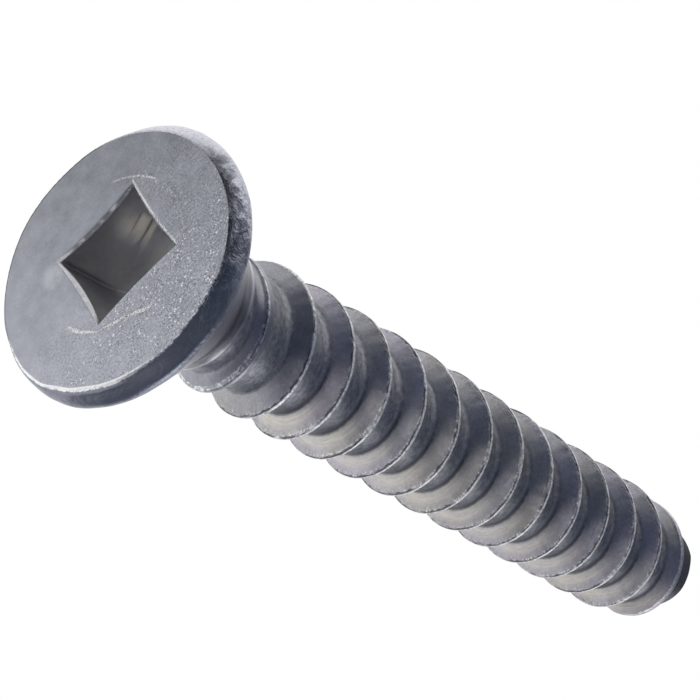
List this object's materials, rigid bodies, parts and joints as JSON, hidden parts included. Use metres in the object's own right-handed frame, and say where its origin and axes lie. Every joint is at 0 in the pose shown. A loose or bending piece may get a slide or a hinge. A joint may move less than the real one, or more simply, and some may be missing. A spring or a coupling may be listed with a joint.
{
  "type": "sheet metal screw",
  "caption": "Flat-head sheet metal screw with a square drive recess, a countersunk head, a coarse single-start right-hand thread and a blunt tip.",
  "frame": {"origin": "centre of the head's flat face", "axes": "+Z along the screw's axis from the head to the tip, X and Y along the sides of the square recess"},
  "size_m": [0.0074, 0.0074, 0.0272],
  "materials": {
    "steel": "satin, burnished on the thread's flanks"
  },
  "bodies": {
    "root": {"screw": "steel"}
  },
  "joints": []
}
